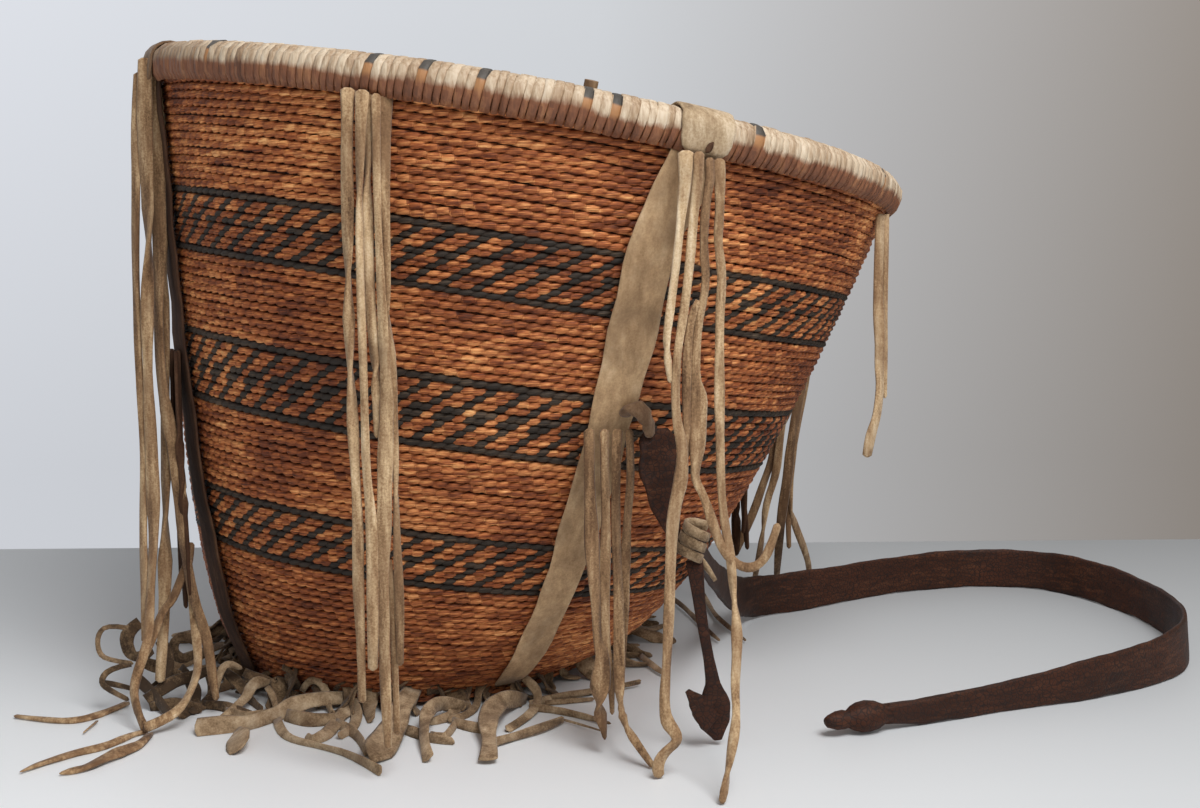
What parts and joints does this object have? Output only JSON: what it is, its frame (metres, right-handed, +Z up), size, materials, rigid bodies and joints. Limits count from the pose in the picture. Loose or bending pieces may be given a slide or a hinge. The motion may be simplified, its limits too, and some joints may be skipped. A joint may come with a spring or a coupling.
{
  "type": "burden basket",
  "caption": "Lopsided round-footed twined basket with a wrapped hoop rim, hide strips down the wall, hanging thong fringes and a leather carrying strap.",
  "frame": {"origin": "centre of the hide patch under the foot, on the plane of the table", "axes": "+Z up; +Y to the back; +X to the right of the front, the side to which the rim leans down and the carrying strap lies"},
  "size_m": [0.6537, 0.3984, 0.3314],
  "materials": {
    "field_splint": "split shoots, twined, satin",
    "band_splint": "split shoots, light and near-black, twined",
    "rim_splint": "pale split shoots wound round the hoop",
    "rod_wood": "bare peeled rod",
    "hide": "smoke-tanned hide, suede",
    "strap_leather": "worn dark red-brown leather"
  },
  "bodies": {
    "root": {"foot_hide_patch": "hide", "foot_hide_fringe": "hide", "woven_base": "field_splint", "bottom_field_weave": "field_splint", "band_3_weave": "band_splint", "field_3_weave": "field_splint", "band_2_weave": "band_splint", "field_2_weave": "field_splint", "band_1_weave": "band_splint", "top_field_weave": "field_splint", "rim_hoop": "rod_wood", "rim_binding": "rim_splint", "rib_rod_long": "rod_wood", "rib_rod_cross": "rod_wood", "rim_fringe_front_left": "hide", "mid_fringe_front_left": "hide", "strap_loop": "hide", "strap_tie": "hide", "strap_end": "strap_leather", "strap_tail": "strap_leather", "strap_lead": "strap_leather", "strap_band": "strap_leather", "strap_neck": "strap_leather", "strap_knot": "strap_leather", "strip_front_right": "hide", "rim_tab_front_right": "hide", "strip_back_right": "hide", "rim_tab_back_right": "hide", "strip_back_left": "hide", "rim_tab_back_left": "hide", "strip_front_left": "hide", "rim_tab_front_left": "hide"},
    "rim_fringe_front_right": {"rim_fringe_front_right": "hide"},
    "rim_fringe_back_right": {"rim_fringe_back_right": "hide"},
    "rim_fringe_back_left": {"rim_fringe_back_left": "hide"},
    "mid_fringe_front_right": {"mid_fringe_front_right": "hide"},
    "mid_fringe_back_right": {"mid_fringe_back_right": "hide"},
    "mid_fringe_back_left": {"mid_fringe_back_left": "hide"},
    "between_fringe_front": {"between_fringe_front": "hide"},
    "between_fringe_right": {"between_fringe_right": "hide"},
    "between_fringe_back": {"between_fringe_back": "hide"},
    "between_fringe_left": {"between_fringe_left": "hide"}
  },
  "joints": [
    {"name": "rim_fringe_front_right_swing", "type": "hinge", "parent": "root", "child": "rim_fringe_front_right", "pos_m": [0.14978, -0.19486, 0.26574], "axis": [-0.9151, -0.4031, 0], "range_deg": [-3, 60]},
    {"name": "rim_fringe_back_right_swing", "type": "hinge", "parent": "root", "child": "rim_fringe_back_right", "pos_m": [0.23652, 0.08764, 0.2363], "axis": [0.5101, -0.8601, 0], "range_deg": [-3, 60]},
    {"name": "rim_fringe_back_left_swing", "type": "hinge", "parent": "root", "child": "rim_fringe_back_left", "pos_m": [-0.01911, 0.16893, 0.27519], "axis": [0.8986, 0.4388, 0], "range_deg": [-2, 60]},
    {"name": "mid_fringe_front_right_swing", "type": "hinge", "parent": "root", "child": "mid_fringe_front_right", "pos_m": [0.11447, -0.1621, 0.14898], "axis": [-0.9129, -0.4081, 0], "range_deg": [-2, 15]},
    {"name": "mid_fringe_back_right_swing", "type": "hinge", "parent": "root", "child": "mid_fringe_back_right", "pos_m": [0.19131, 0.07151, 0.12336], "axis": [0.4606, -0.8876, 0], "range_deg": [-2, 20]},
    {"name": "mid_fringe_back_left_swing", "type": "hinge", "parent": "root", "child": "mid_fringe_back_left", "pos_m": [-0.01617, 0.15526, 0.15109], "axis": [0.9427, 0.3336, 0], "range_deg": [-2, 5]},
    {"name": "between_fringe_front_swing", "type": "hinge", "parent": "root", "child": "between_fringe_front", "pos_m": [0.00814, -0.1982, 0.29158], "axis": [-0.9549, 0.297, 0], "range_deg": [-3, 60]},
    {"name": "between_fringe_right_swing", "type": "hinge", "parent": "root", "child": "between_fringe_right", "pos_m": [0.2509, -0.07221, 0.24211], "axis": [-0.3119, -0.9501, 0], "range_deg": [-3, 60]},
    {"name": "between_fringe_back_swing", "type": "hinge", "parent": "root", "child": "between_fringe_back", "pos_m": [0.12425, 0.17506, 0.25042], "axis": [0.9549, -0.297, 0], "range_deg": [-3, 60]},
    {"name": "between_fringe_left_swing", "type": "hinge", "parent": "root", "child": "between_fringe_left", "pos_m": [-0.11698, 0.05577, 0.29916], "axis": [0.3451, 0.9386, 0], "range_deg": [0, 60]}
  ]
}
